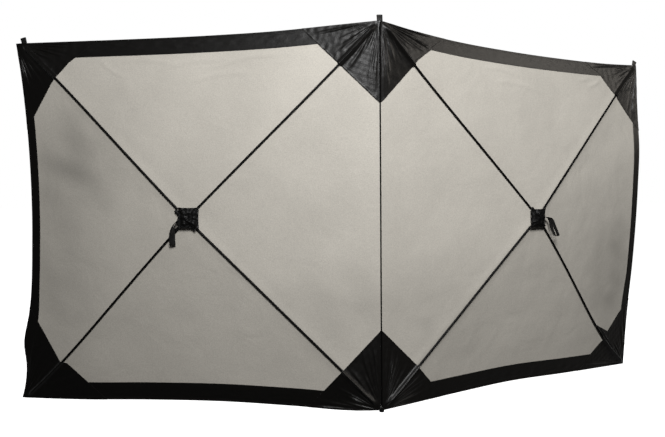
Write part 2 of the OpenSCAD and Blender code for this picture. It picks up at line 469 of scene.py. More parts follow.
def ribbon(
    name: str,
    centre: Array,
    across: Array,
    width: float,
    thick: float,
    cells: int = 6,
) -> bpy.types.Object:
    """Makes a strip of webbing along a path.

    Args:
        name: The piece's name.
        centre: Points of the path, in metres.
        across: The strip's direction across at each point, of length 1.
        width: Its width, in metres.
        thick: Its thickness, in metres.
        cells: Grid steps across.

    Returns:
        The new object.
    """
    run = unit_rows(np.gradient(centre, axis=0))
    out = unit_rows(np.cross(run, across))
    count = len(centre) - 1
    gone = np.concatenate([[0], np.cumsum(np.linalg.norm(np.diff(centre, axis=0), axis=1))])

    def placer(p: Array, q: Array, face: Array) -> Array:
        """Lays the strip along its path.

        Args:
            p: First coordinate of the grid, from -1 to 1.
            q: Second coordinate of the grid, from -1 to 1.
            face: Which face, -1 or 1.

        Returns:
            Points in metres, one a row.
        """
        i = np.rint((p + 1) / 2 * count).astype(int)
        round_edge = np.sqrt(np.clip(1.08 - q**4, 0, 1))
        return (
            centre[i]
            + across[i] * (q * width / 2)[:, None]
            + out[i] * (face * thick / 2 * round_edge)[:, None]
        )

    def chart(p: Array, q: Array) -> Array:
        """Distances along and across the strip, for its ribs."""
        return np.column_stack([gone[np.rint((p + 1) / 2 * count).astype(int)], q * width / 2])

    return woven(name, (count, cells), placer, chart)


def rod(
    name: str, line: Array, radius: Array | float, segments: int = 20
) -> bpy.types.Object:
    """Makes a round bar along a line of points, with closed ends.

    Args:
        name: The piece's name.
        line: Points of its middle, in metres.
        radius: Its radius, in metres, one number or one for each point.
        segments: Sides round it.

    Returns:
        The new object.
    """
    bm = bmesh.new()
    steps = len(line) - 1
    bmesh.ops.create_cone(
        bm, cap_ends=True, segments=segments, radius1=1, radius2=1, depth=2
    )
    long = [e for e in bm.edges if abs(e.verts[0].co.z - e.verts[1].co.z) > 1]
    bmesh.ops.subdivide_edges(bm, edges=long, cuts=steps - 1, use_grid_fill=True)
    run = unit_rows(np.gradient(line, axis=0))
    side = unit_rows(np.cross(run, np.array([0.13, 0.97, 0.2])))
    up = np.cross(side, run)
    radii = np.broadcast_to(radius, len(line))
    for vert in bm.verts:
        i = round((vert.co.z + 1) / 2 * steps)
        vert.co = Vector(line[i] + (side[i] * vert.co.x + up[i] * vert.co.y) * radii[i])
    return add_piece(name, bm, sharp=50)


class Finish:
    """A material made of nodes, made once."""

    made: dict[str, bpy.types.Material] = {}

    def material(self) -> bpy.types.Material:
        """The finish's material, made when it is first asked for.

        Returns:
            The material.
        """
        if self.name not in Finish.made:
            made = bpy.data.materials.new(self.name)
            made.use_nodes = True
            Finish.made[self.name] = made
            self.build(made.node_tree)
        return Finish.made[self.name]

    def build(self, tree: bpy.types.NodeTree) -> None:
        """Lays out the finish's nodes."""
        raise NotImplementedError


def add_node(
    tree: bpy.types.NodeTree,
    kind: str,
    values: dict[str | int, object] | None = None,
    **settings: object,
) -> bpy.types.Node:
    """Adds a node.

    Args:
        tree: The material's nodes.
        kind: The node's type.
        values: Values of its input sockets.
        settings: Its own settings.

    Returns:
        The node.
    """
    node = tree.nodes.new(kind)
    for key, value in settings.items():
        setattr(node, key, value)
    for key, value in (values or {}).items():
        node.inputs[key].default_value = value
    return node


def noise(
    tree: bpy.types.NodeTree,
    where: bpy.types.NodeSocket,
    scale: float,
    detail: float,
    roughness: float = 0.5,
    distortion: float = 0.0,
) -> bpy.types.NodeSocket:
    """Adds noise.

    Args:
        tree: The material's nodes.
        where: The place to read it at.
        scale: Its flecks in a metre.
        detail: How many finer layers it has.
        roughness: How strong the finer layers are.
        distortion: How far it is stirred.

    Returns:
        The noise's value.
    """
    values = {"Scale": scale, "Detail": detail, "Roughness": roughness, "Distortion": distortion}
    node = add_node(tree, "ShaderNodeTexNoise", values)
    tree.links.new(where, node.inputs["Vector"])
    return node.outputs["Fac"]


def bumps(
    tree: bpy.types.NodeTree,
    height: bpy.types.NodeSocket,
    depth: float,
    under: bpy.types.NodeSocket | None = None,
) -> bpy.types.NodeSocket:
    """Adds bumps.

    Args:
        tree: The material's nodes.
        height: The height to raise them by.
        depth: Their height, in metres.
        under: The bumps that these lie on.

    Returns:
        The bumped surface's direction.
    """
    node = add_node(tree, "ShaderNodeBump", {"Strength": 1.0, "Distance": depth})
    tree.links.new(height, node.inputs["Height"])
    if under is not None:
        tree.links.new(under, node.inputs["Normal"])
    return node.outputs["Normal"]


@dataclass(frozen=True)
class ClothFinish(Finish):
    """Woven polyester.

    Attributes:
        name: The material's name.
        colour: Its colour, linear.
        shade: How dark the flecks of its weave are, as a share of the colour.
        roughness: Its roughness.
        gloss: Its specular level.
        sheen: Its sheen.
        grain: Flecks in a metre.
        grain_depth: Height of the weave's bumps, in metres.
        crumple: Creases in a metre.
        crumple_depth: Height of the creases, in metres.
    """

    name: str
    colour: tuple[float, float, float]
    shade: float = 0.9
    roughness: float = 0.7
    gloss: float = 0.3
    sheen: float = 0.0
    grain: float = 240.0
    grain_depth: float = 0.0004
    crumple: float = 9.0
    crumple_depth: float = 0.002

    def build(self, tree: bpy.types.NodeTree) -> None:
        """Lays out the finish's nodes.

        Args:
            tree: The material's nodes.
        """
        shader = tree.nodes["Principled BSDF"]
        shader.inputs["Roughness"].default_value = self.roughness
        shader.inputs["Specular IOR Level"].default_value = self.gloss
        shader.inputs["Sheen Weight"].default_value = self.sheen
        shader.inputs["Sheen Roughness"].default_value = 0.4
        where = add_node(tree, "ShaderNodeTexCoord").outputs["Object"]
        fine = noise(tree, where, self.grain, 2.0, 0.6)
        broad = noise(tree, where, 3.1, 3.0, 0.55)
        dark = tuple(c * self.shade for c in self.colour)
        mixed = add_node(
            tree,
            "ShaderNodeMix",
            {6: (*dark, 1), 7: (*(c * (2 - self.shade) for c in self.colour), 1)},
            data_type="RGBA",
        )
        spread = add_node(tree, "ShaderNodeMapRange", {"From Min": 0.32, "From Max": 0.68})
        tree.links.new(fine, spread.inputs["Value"])
        tree.links.new(spread.outputs["Result"], mixed.inputs["Factor"])
        clouds = add_node(
            tree,
            "ShaderNodeMapRange",
            {"From Min": 0.3, "From Max": 0.7, "To Min": 0.955, "To Max": 1.045},
        )
        tree.links.new(broad, clouds.inputs["Value"])
        # Painted shade: a vertex attribute set on the light panel darkens the colour in soft patches; it
        # reads 0 on pieces without it.
        soil = add_node(tree, "ShaderNodeAttribute", attribute_name="soil")
        shaded_clouds = add_node(tree, "ShaderNodeMath", operation="SUBTRACT")
        tree.links.new(clouds.outputs["Result"], shaded_clouds.inputs[0])
        tree.links.new(soil.outputs["Fac"], shaded_clouds.inputs[1])
        tinted = add_node(tree, "ShaderNodeVectorMath", operation="SCALE")
        tree.links.new(mixed.outputs[2], tinted.inputs[0])
        tree.links.new(shaded_clouds.outputs["Value"], tinted.inputs["Scale"])
        tree.links.new(tinted.outputs["Vector"], shader.inputs["Base Color"])
        creases = noise(tree, where, self.crumple, 4.0, distortion=0.6)
        crumpled = bumps(tree, creases, self.crumple_depth)
        tree.links.new(bumps(tree, fine, self.grain_depth, crumpled), shader.inputs["Normal"])


@dataclass(frozen=True)
class WebbingFinish(Finish):
    """Black webbing with ribs along it.

    Attributes:
        name: The material's name.
        colour: Its colour, linear.
        ribs: Ribs in a metre.
    """

    name: str = "black_webbing"
    colour: tuple[float, float, float] = (0.007, 0.0067, 0.0064)
    ribs: float = 240.0

    def build(self, tree: bpy.types.NodeTree) -> None:
        """Lays out the finish's nodes.

        Args:
            tree: The material's nodes.
        """
        shader = tree.nodes["Principled BSDF"]
        shader.inputs["Roughness"].default_value = 0.55
        shader.inputs["Specular IOR Level"].default_value = 0.35
        shader.inputs["Sheen Weight"].default_value = 0.05
        where = add_node(tree, "ShaderNodeUVMap", uv_map="cloth").outputs["UV"]
        rib = add_node(
            tree,
            "ShaderNodeTexWave",
            {"Scale": self.ribs / 20 * math.pi, "Distortion": 0.4, "Detail": 1.0},
            bands_direction="Y",
        )
        tree.links.new(where, rib.inputs["Vector"])
        fuzz = noise(tree, where, 700.0, 2.0)
        mixed = add_node(
            tree,
            "ShaderNodeMix",
            {6: (*(c * 0.7 for c in self.colour), 1), 7: (*(c * 1.5 for c in self.colour), 1)},
            data_type="RGBA",
        )
        tree.links.new(fuzz, mixed.inputs["Factor"])
        tree.links.new(mixed.outputs[2], shader.inputs["Base Color"])
        tree.links.new(bumps(tree, rib.outputs["Fac"], 0.0005), shader.inputs["Normal"])


@dataclass(frozen=True)
class HardFinish(Finish):
    """Smooth black rod, moulded plastic or covered cord.

    Attributes:
        name: The material's name.
        colour: Its colour, linear.
        roughness: Its roughness where it is smoothest.
        gloss: Its specular level.
        scuffs: Scuffs in a metre.
        scuff_depth: Height of its bumps, in metres.
    """

    name: str
    colour: tuple[float, float, float]
    roughness: float = 0.3
    gloss: float = 0.5
    scuffs: float = 60.0
    scuff_depth: float = 0.0001

    def build(self, tree: bpy.types.NodeTree) -> None:
        """Lays out the finish's nodes.

        Args:
            tree: The material's nodes.
        """
        shader = tree.nodes["Principled BSDF"]
        shader.inputs["Base Color"].default_value = (*self.colour, 1)
        shader.inputs["Specular IOR Level"].default_value = self.gloss
        where = add_node(tree, "ShaderNodeTexCoord").outputs["Object"]
        scuff = noise(tree, where, self.scuffs, 3.0)
        shine = {"To Min": self.roughness, "To Max": self.roughness + 0.2}
        rough = add_node(tree, "ShaderNodeMapRange", shine)
        tree.links.new(scuff, rough.inputs["Value"])
        tree.links.new(rough.outputs["Result"], shader.inputs["Roughness"])
        tree.links.new(bumps(tree, scuff, self.scuff_depth), shader.inputs["Normal"])


LIGHT_CLOTH = ClothFinish("light_cloth", (0.635, 0.6, 0.535), crumple_depth=0.004, crumple=7)
BLACK_CLOTH = ClothFinish(
    "black_cloth",
    (0.0046, 0.0041, 0.0036),
    shade=0.7,
    roughness=0.4,
    gloss=0.32,
    sheen=0.14,
    crumple=34,
    crumple_depth=0.0008,
)
PAD_CLOTH = ClothFinish(
    "pad_cloth",
    (0.006, 0.0058, 0.0055),
    shade=0.75,
    roughness=0.42,
    gloss=0.25,
    sheen=0.0,
    crumple=60,
    crumple_depth=0.003,
)
WEBBING = WebbingFinish()
POLE = HardFinish("pole_black", (0.002, 0.002, 0.002), roughness=0.4, gloss=0.2)
CORD_COVER = HardFinish(
    "seam_cord_black",
    (0.0022, 0.0021, 0.002),
    roughness=0.7,
    gloss=0.05,
    scuffs=400,
    scuff_depth=0.0006,
)
PLASTIC = HardFinish("black_plastic", (0.004, 0.004, 0.004), roughness=0.45, gloss=0.3)


@dataclass(frozen=True)
class Fold:
    """One tension fold in a corner patch.

    Attributes:
        turn: Where it lies, 0 on the level edge and 1 on the upright one.
        half: Half its width, as a share of the corner's angle.
        height: Its height, in millimetres.
        start: Where it rises, as a share of the way to the long edge.
        end: Where it dies out.
    """

    turn: float
    half: float
    height: float
    start: float
    end: float


@dataclass
class CornerPatch:
    """A black reinforcing patch sewn over a corner and its pole.

    Attributes:
        cloth: The bay's cloth.
        corner: Which corner it covers.
        long_edge: The long edge from the level edge to the upright one, in millimetres.
        seed: Picks its folds.
        height: Height of the highest fold, in millimetres.
        folds: How many folds it has.
        tube: Rise of the cloth over the pole, in millimetres.
        tube_half: Half the width of that rise.
    """

    cloth: BayCloth
    corner: Corner
    long_edge: Knots
    seed: int
    height: float = SLACK_FOLDS
    folds: int = 13
    tube: float = 13.4
    tube_half: float = 7.8

    @property
    def name(self) -> str:
        """The piece's name, and its CAD node's."""
        return f"{self.cloth.side.word}_{self.corner.word}_patch"

    def edge_line(self) -> tuple[Array, Array, Array]:
        """The long edge, brought out to the cloth's own edges.

        Returns:
            Shares of its length, distances from the seam, and heights.
        """
        points = np.array(self.long_edge)
        points[0, 1] = self.cloth.edge_z(points[:1, 0], self.corner.is_top)[0]
        points[-1, 0] = self.cloth.edge_u(points[-1:, 1], self.corner.is_outer)[0]
        gone = np.concatenate([[0], np.cumsum(np.linalg.norm(np.diff(points, axis=0), axis=1))])
        return gone / gone[-1], points[:, 0], points[:, 1]

    def lie(self, t: Array, r: Array) -> tuple[Array, Array]:
        """Where points of the patch lie on the bay.

        Args:
            t: Turn from the level edge, 0, to the upright edge, 1.
            r: Reach from the corner, 0, to the long edge, 1.

        Returns:
            Distances from the seam, and heights.
        """
        share, us, zs = self.edge_line()
        tip = self.cloth.tip(self.corner)
        hu, hz = np.interp(t, share, us), np.interp(t, share, zs)
        u, z = tip[0] + (hu - tip[0]) * r, tip[1] + (hz - tip[1]) * r
        level_u = tip[0] + (us[0] - tip[0]) * r
        level_z = tip[1] + (zs[0] - tip[1]) * r
        upright_u = tip[0] + (us[-1] - tip[0]) * r
        upright_z = tip[1] + (zs[-1] - tip[1]) * r
        z = z + (1 - t) ** 2 * (self.cloth.edge_z(level_u, self.corner.is_top) - level_z)
        u = u + t**2 * (self.cloth.edge_u(upright_z, self.corner.is_outer) - upright_u)
        return u, z

    def spread(self) -> tuple[Array, Array]:
        """Spaces the grid's columns closer together beside the pole.

        Returns:
            Shares of the grid, and the turn at each.
        """
        t = np.linspace(0, 1, 400)
        u, z = self.lie(t, np.full_like(t, 0.8))
        _, beside = self.cloth.off_pole(self.corner, u, z)
        density = 1 + 3.2 * np.exp(-((beside / 26) ** 2))
        share = np.concatenate([[0], np.cumsum((density[1:] + density[:-1]) / 2)])
        return share / share[-1], t

    def fold_list(self) -> list[Fold]:
        """Draws the patch's tension folds.

        Returns:
            The folds, from the level edge to the upright one.
        """
        rng = np.random.default_rng(self.seed)
        turns = (np.arange(self.folds) + rng.uniform(0.2, 0.8, self.folds)) / self.folds
        return [
            Fold(
                turn,
                rng.uniform(0.012, 0.03),
                self.height * rng.uniform(0.35, 1),
                rng.uniform(0.02, 0.25),
                rng.uniform(0.6, 1.15),
            )
            for turn in turns
        ]

    def lift(self, t: Array, r: Array, u: Array, z: Array) -> Array:
        """How far the patch's middle stands in front of the cloth's middle.

        Args:
            t: Turn from the level edge, 0, to the upright edge, 1.
            r: Reach from the corner, 0, to the long edge, 1.
            u: Distances from the seam of the same points.
            z: Their heights.

        Returns:
            Distances to the front, in millimetres.
        """
        along, beside = self.cloth.off_pole(self.corner, u, z)
        rise = np.zeros_like(t)
        for k, f in enumerate(self.fold_list()):
            at = f.turn + 0.018 * np.sin(4 * r + 1.7 * k) * r
            ridge = np.exp(-(((t - at) / f.half) ** 2))
            shown = ramp(r, f.start, f.start + 0.25) * (1 - ramp(r, f.end - 0.4, f.end))
            rise += f.height * ridge * shown
        rise *= 1 - 0.75 * np.exp(-((beside / 16) ** 2))
        rise *= 1 - 0.8 * ramp(r, 0.93, 1)
        rise += 0.5 * (1 + swell(u, z, self.seed, 60))
        tube = self.tube * np.exp(-((beside / self.tube_half) ** 2)) + 3 * np.exp(-np.abs(beside) / 20)
        lift = 2.1 + rise + tube * (1 - ramp(along, 0.955, 0.99))
        return 0.3 + (lift - 0.3) * ramp(u - SEAM_U, -1, 16)

    def build(self) -> bpy.types.Object:
        """Makes the patch, with a thicker bound edge along its long side.

        Returns:
            The finished piece.
        """
        shares, turns = self.spread()

        def placer(p: Array, q: Array, face: Array) -> Array:
            """Lays the patch over its corner.

            Args:
                p: First coordinate of the grid, from -1 to 1.
                q: Second coordinate of the grid, from -1 to 1.
                face: Which face, -1 or 1.

            Returns:
                Points in metres, one a row.
            """
            t = np.interp((p + 1) / 2, shares, turns)
            r = (q + 1) / 2
            u, z = self.lie(t, r)
            bound = ramp(r, 0.972, 0.984) * (1 - 0.9 * ramp(r, 0.996, 1))
            half = 0.75 + 0.9 * bound
            return self.cloth.on_cloth(u, z, self.lift(t, r, u, z) + face * half)

        piece = woven(self.name + "_cloth", (150, 76), placer, joined=1e-6)
        hand_over(piece, BLACK_CLOTH, self.cloth.side.body, self.name)
        t = np.linspace(0, 1, 60)
        hu, hz = self.lie(t, np.ones_like(t))
        tip = self.cloth.tip(self.corner)
        f"{self.cloth.side.word}_{self.corner.word}_pole_rod"
        return piece


@dataclass(frozen=True)
class Crease:
    """A faint crease in the light cloth.

    Attributes:
        start: Its first end, from the seam and from the ground, in millimetres.
        end: Its second end.
        height: Its height, in millimetres.
        half: Half its width, in millimetres.
    """

    start: tuple[float, float]
    end: tuple[float, float]
    height: float = 3.0
    half: float = 7.0

    def rise(self, u: Array, z: Array) -> Array:
        """The crease's height at points of the cloth.

        Args:
            u: Distances from the seam.
            z: Heights.

        Returns:
            Heights in front of the flat cloth.
        """
        a, b = np.array(self.start), np.array(self.end)
        run = b - a
        length = float(np.linalg.norm(run))
        run = run / length
        along = ((u - a[0]) * run[0] + (z - a[1]) * run[1]) / length
        beside = -(u - a[0]) * run[1] + (z - a[1]) * run[0]
        beside = beside - 0.06 * length * np.sin(math.pi * np.clip(along, 0, 1))
        fade = ramp(along, -0.05, 0.25) * (1 - ramp(along, 0.6, 1.05))
        return self.height * fade * np.exp(-((beside / self.half) ** 2))


@dataclass
class LightPanel:
    """The light cloth of one bay.

    Attributes:
        cloth: The bay's cloth.
        creases: Its faint creases.
        soil: Soft patches of painted shade: distance from the seam, height, half width, half height and
            strength.
        seed: Picks its unevenness.
        tuck: How far it runs under the bands, in millimetres.
    """

    cloth: BayCloth
    creases: tuple[Crease, ...]
    soil: tuple[tuple[float, float, float, float, float], ...]
    seed: int
    tuck: float = 14.0

    def border(self, gore: int, t: Array) -> tuple[Array, Array]:
        """Points along the panel's edge in a gore, from its first corner to its second.

        Args:
            gore: The gore's number.
            t: Shares of the way between its corners.

        Returns:
            Distances from the seam, and heights.
        """
        c = self.cloth
        low = {0: c.stance.top_width, 1: c.side_width, 2: c.stance.bottom_width, 3: 0.0}
        inset = {k: max(w - self.tuck, 0) for k, w in low.items()}
        first, second = RING[gore], RING[(gore + 1) % 4]
        ends = []
        for corner in (first, second):
            rise = -inset[0] if corner.is_top else inset[2]
            z = np.array([corner.value[1] + rise])
            u = c.edge_u(z, corner.is_outer) - (inset[1] if corner.is_outer else 0)
            ends.append(float(u[0] if gore in (0, 2) else (c.edge_z(u, corner.is_top) + rise)[0]))
        line = ends[0] + (ends[1] - ends[0]) * t
        if gore in (0, 2):
            return line, c.edge_z(line, gore == 0) + (-inset[0] if gore == 0 else inset[2])
        if gore == 1:
            return c.edge_u(line, True) - inset[1], line
        under, over = PATCH_TIPS
        behind = ramp(line, over - TIP_BLEND, over + TIP_BLEND)
        behind += ramp(-line, -under - TIP_BLEND, -under + TIP_BLEND)
        return SEAM_U + SEAM_TUCK * behind, line

    def lie(self, p: Array, q: Array) -> tuple[Array, Array]:
        """Where points of the square grid lie on the bay.

        Args:
            p: First coordinate of the grid, from -1 to 1.
            q: Second coordinate of the grid, from -1 to 1.

        Returns:
            Distances from the seam, and heights.
        """
        r = np.maximum(np.abs(p), np.abs(q))
        safe = np.maximum(r, 1e-9)
        u, z = np.full_like(p, HUB[0]), np.full_like(p, HUB[1])
        choices = (
            (q >= np.abs(p), (p / safe + 1) / 2),
            (p > np.abs(q), (1 - q / safe) / 2),
            (-q >= np.abs(p), (1 - p / safe) / 2),
            (-p > np.abs(q), (q / safe + 1) / 2),
        )
        for gore, (here, t) in enumerate(choices):
            bu, bz = self.border(gore, np.clip(t, 0, 1))
            u = np.where(here & (r > 0), HUB[0] + (bu - HUB[0]) * r, u)
            z = np.where(here & (r > 0), HUB[1] + (bz - HUB[1]) * r, z)
        return u, z

    def slack(self, u: Array, z: Array) -> Array:
        """Unevenness of the stretched cloth, none at its edges or along the poles.

        Args:
            u: Distances from the seam.
            z: Heights.

        Returns:
            Heights in front of the flat cloth, in millimetres.
        """
        near = np.full_like(u, 1e9)
        for corner in RING:
            _, beside = self.cloth.off_pole(corner, u, z)
            near = np.minimum(near, np.abs(beside))
        edge = np.minimum(
            np.minimum(u, self.cloth.edge_u(z, True) - u),
            np.minimum(self.cloth.edge_z(u, True) - z, z - self.cloth.edge_z(u, False)),
        )
        calm = ramp(near, 4, 90) * ramp(edge, 30, 200)
        low = swell(u, z, self.seed, 520) * 1.5 + swell(u, z, self.seed + 1, 210) * 0.45
        rise = low * calm + 2.6 * np.exp(-((near / 22) ** 2)) * ramp(edge, 40, 120)
        for crease in self.creases:
            rise += crease.rise(u, z) * ramp(edge, 74, 100)
        return rise

    def build(self) -> bpy.types.Object:
        """Makes the light panel.

        Returns:
            The finished piece.
        """
        side = self.cloth.side.word

        painted_dark: list[Array] = []

        def placer(p: Array, q: Array, face: Array) -> Array:
            """Lays the panel on the bay and notes how much painted shade darkens it.

            Args:
                p: First coordinate of the grid, from -1 to 1.
                q: Second coordinate of the grid, from -1 to 1.
                face: Which face, -1 or 1.

            Returns:
                Points in metres, one a row.
            """
            u, z = self.lie(p, q)
            # Painted shade: soft dark patches of uneven strength, stored per vertex to darken the cloth's
            # colour.
            marks = [
                k * np.exp(-(((u - a) / w) ** 2) - ((z - b) / h) ** 2)
                for a, b, w, h, k in self.soil
            ]
            painted_dark.append(np.sum(marks, axis=0) * (1 + 0.35 * swell(u, z, self.seed + 3, 330)))
            return self.cloth.on_cloth(u, z, self.slack(u, z) + face * 0.6)

        piece = woven(f"{side}_panel_cloth", (168, 168), placer, crossed=True)
        layer = piece.data.attributes.new("soil", "FLOAT", "POINT")
        layer.data.foreach_set("value", painted_dark[0].astype(np.float32))
        hand_over(piece, LIGHT_CLOTH, self.cloth.side.body, f"{side}_panel")
        t = np.linspace(0, 1, 50)
        rim = np.concatenate([np.column_stack(self.border(g, t)) for g in range(4)]) * MM
        [f"{side}_{corner.word}_pole_rod" for corner in RING]
        return piece


class Border(Enum):
    """The black bands round a bay."""

    TOP = "top"
    BOTTOM = "bottom"
    SIDE = "side"


@dataclass
class Band:
    """One black band with a rolled hem along the cloth's edge.

    Attributes:
        cloth: The bay's cloth.
        border: Which edge it is on.
        seed: Picks its puckers.
    """

    cloth: BayCloth
    border: Border
    seed: int

    def lie(self, s: Array, w: Array) -> tuple[Array, Array]:
        """Where points of the band lie.

        Args:
            s: Shares of the way along it.
            w: Shares of the way across it, from its hem.

        Returns:
            Distances from the seam, and heights.
        """
        c, st = self.cloth, self.cloth.stance
        if self.border is Border.SIDE:
            low, high = st.bottom_width - 8, OUTER_H - st.top_width + 4
            z = low + (high - low) * s
            widen = 14 * ramp(-z, -560, -300)
            return c.edge_u(z, True) - w * (c.side_width + widen), z
        top = self.border is Border.TOP
        width = st.top_width if top else st.bottom_width
        far = c.edge_u(np.where(top, OUTER_H - w * width, w * width), True)
        u = SEAM_U + (far - SEAM_U) * s
        return u, c.edge_z(u, top) + (-w if top else w) * width

    def build(self) -> bpy.types.Object:
        """Makes the band.

        Returns:
            The finished piece.
        """
        side, word = self.cloth.side.word, self.border.value
        width = {
            Border.TOP: self.cloth.stance.top_width,
            Border.BOTTOM: self.cloth.stance.bottom_width,
            Border.SIDE: self.cloth.side_width,
        }[self.border]

        def placer(p: Array, q: Array, face: Array) -> Array:
            """Lays the band along its edge.

            Args:
                p: First coordinate of the grid, from -1 to 1.
                q: Second coordinate of the grid, from -1 to 1.
                face: Which face, -1 or 1.

            Returns:
                Points in metres, one a row.
            """
            s, w = (p + 1) / 2, ((q + 1) / 2) ** 1.6
            u, z = self.lie(s, w)
            far = w * width
            hem = 0.9 * np.exp(-(((far - 5.5) / 3.6) ** 2)) - 0.75 * np.exp(-(((far - 12) / 2.2) ** 2))
            rim = np.where((w < 1e-6) | (w > 1 - 1e-6), 0.35, 1)
            pucker = swell(u * 0.4, z * 1.5, self.seed, 42) * 0.9 * ramp(far, 8, 20)
            pucker += swell(u, z, self.seed + 7, 260) * 0.5 * ramp(far, 0, 30)
            pucker *= 1 - ramp(far, width - 32, width - 16)
            lift = 0.2 + (0.9 + pucker * 0.8) * ramp(u - SEAM_U, -1, 16)
            return self.cloth.on_cloth(u, z, lift + face * (1.2 + hem) * rim)

        steps = (300, 16) if self.border is not Border.SIDE else (300, 12)
        piece = woven(f"{side}_{word}_band_cloth", steps, placer)
        hand_over(piece, BLACK_CLOTH, self.cloth.side.body, f"{side}_{word}_band")
        s = np.linspace(0, 1, 60)
        line = np.column_stack(self.lie(s, np.full_like(s, 0.5))) * MM
        return piece


@dataclass
class HubPad:
    """The square of gathered cloth over a hub, and the square behind it.

    Attributes:
        cloth: The bay's cloth.
        knot: Where its gathers meet, from its middle, in millimetres.
        middle: Its middle's place from the hub's, in millimetres.
        seed: Picks its gathers.
        half: Half its width and half its height, in millimetres.
    """

    cloth: BayCloth
    knot: tuple[float, float]
    middle: tuple[float, float]
    seed: int
    half: tuple[float, float] = (47.5, 46.0)

    def build(self) -> list[bpy.types.Object]:
        """Makes the front and the back square.

        Returns:
            The finished pieces.
        """
        side = self.cloth.side.word
        rng = np.random.default_rng(self.seed)
        rays = [
            (rng.uniform(0, 2 * math.pi), rng.uniform(0.1, 0.22), rng.uniform(1.2, 3.2))
            for _ in range(15)
        ]

        def front(p: Array, q: Array, face: Array) -> Array:
            """Lays the gathered square over the hub.

            Args:
                p: First coordinate of the grid, from -1 to 1.
                q: Second coordinate of the grid, from -1 to 1.
                face: Which face, -1 or 1.

            Returns:
                Points in metres, one a row.
            """
            waist = 1 - 0.045 * (1 - q**2) * np.abs(p) ** 3
            belt = 1 - 0.045 * (1 - p**2) * np.abs(q) ** 3
            a, b = p * waist * self.half[0], q * belt * self.half[1]
            out = np.maximum(np.abs(p), np.abs(q))
            da, db = a - self.knot[0], b - self.knot[1]
            far, angle = np.hypot(da, db), np.arctan2(db, da)
            rise = np.zeros_like(a)
            for at, half, height in rays:
                turn = np.angle(np.exp(1j * (angle - at - 0.12 * np.sin(far / 9))))
                rise += height * np.exp(-((turn / half) ** 2)) * ramp(far, 3, 16)
            rise *= 1 - 0.5 * ramp(out, 0.75, 1)
            rise += 5.5 * np.exp(-((far / 9) ** 2)) + 0.8 * swell(a, b, self.seed, 30)
            bound = ramp(out, 0.86, 0.9) * (1 - ramp(out, 0.985, 1))
            v = HUB_BOW + 22.5 - 9 * ramp(out, 0.5, 1) + rise + bound * 0.9
            u, z = HUB[0] + self.middle[0] + a, HUB[1] + self.middle[1] + b
            return self.cloth.place(u, z, v + face * (0.7 + 0.7 * bound))

        def back(p: Array, q: Array, face: Array) -> Array:
            """Lays the plain square behind the hub.

            Args:
                p: First coordinate of the grid, from -1 to 1.
                q: Second coordinate of the grid, from -1 to 1.
                face: Which face, -1 or 1.

            Returns:
                Points in metres, one a row.
            """
            a, b = p * 60, q * 60
            out = np.maximum(np.abs(p), np.abs(q))
            bound = ramp(out, 0.9, 0.93) * (1 - ramp(out, 0.99, 1))
            lift = -1.7 - 0.4 * bound + 0.25 * swell(a, b, self.seed, 40)
            return self.cloth.on_cloth(HUB[0] + a, HUB[1] + b, lift + face * (0.7 + 0.4 * bound))

        made = []
        parts = (("hub_pad", front, 2 * self.half[0], 84), ("back_patch", back, 120, 44))
        for word, placer, size, steps in parts:
            piece = woven(f"{side}_{word}_cloth", (steps, steps), placer, crossed=True)
            hand_over(piece, PAD_CLOTH, self.cloth.side.body, f"{side}_{word}")
            made.append(piece)
        return made


@dataclass
class PullStrap:
    """A doubled strip of webbing that hangs from a hub pad.

    Attributes:
        cloth: The bay's cloth.
        path: Points down its middle: distance from the seam, height, and distance to the front.
        twist: Turn of the strip at each point, in degrees, 0 facing the front and 90 edge on.
        gap: Space between its two legs at each point, in millimetres.
        width: Width of the webbing, in millimetres.
    """

    cloth: BayCloth
    path: tuple[tuple[float, float, float], ...]
    twist: tuple[float, ...]
    gap: tuple[float, ...]
    width: float = 25.0

    def build(self) -> bpy.types.Object:
        """Makes the strap.

        Returns:
            The finished piece.
        """
        side = self.cloth.side.word
        knots = np.linspace(0, 1, len(self.path))
        down = np.linspace(0, 1, 56)
        round_end = np.linspace(0, math.pi, 13)[1:-1]
        a = np.concatenate([down, np.ones(len(round_end)), down[::-1]])
        leg = np.concatenate([np.ones(56), np.cos(round_end), -np.ones(56)])
        drop = np.concatenate([np.zeros(56), np.sin(round_end), np.zeros(56)])
        mid = np.column_stack([eased(tuple(zip(knots, c)), a) for c in np.array(self.path).T])
        turn = np.radians(eased(tuple(zip(knots, self.twist)), a))
        gap = eased(tuple(zip(knots, self.gap)), a) / 2
        apart = np.column_stack([-np.sin(turn), np.zeros_like(a), np.cos(turn)])
        wide = np.column_stack([np.cos(turn), np.zeros_like(a), np.sin(turn)])
        tail = mid[55] - mid[50]
        tail /= np.linalg.norm(tail)
        mid = mid + apart * (leg * gap)[:, None] + tail * (drop * gap)[:, None]
        here = self.cloth.place(mid[:, 0], mid[:, 1], mid[:, 2])
        there = self.cloth.place(*(mid + wide).T)
        across = unit_rows(there - here)
        piece = ribbon(f"{side}_pull_strap_webbing", here, across, self.width * MM, 0.002)
        hand_over(piece, WEBBING, self.cloth.side.body, f"{side}_pull_strap")
        return piece


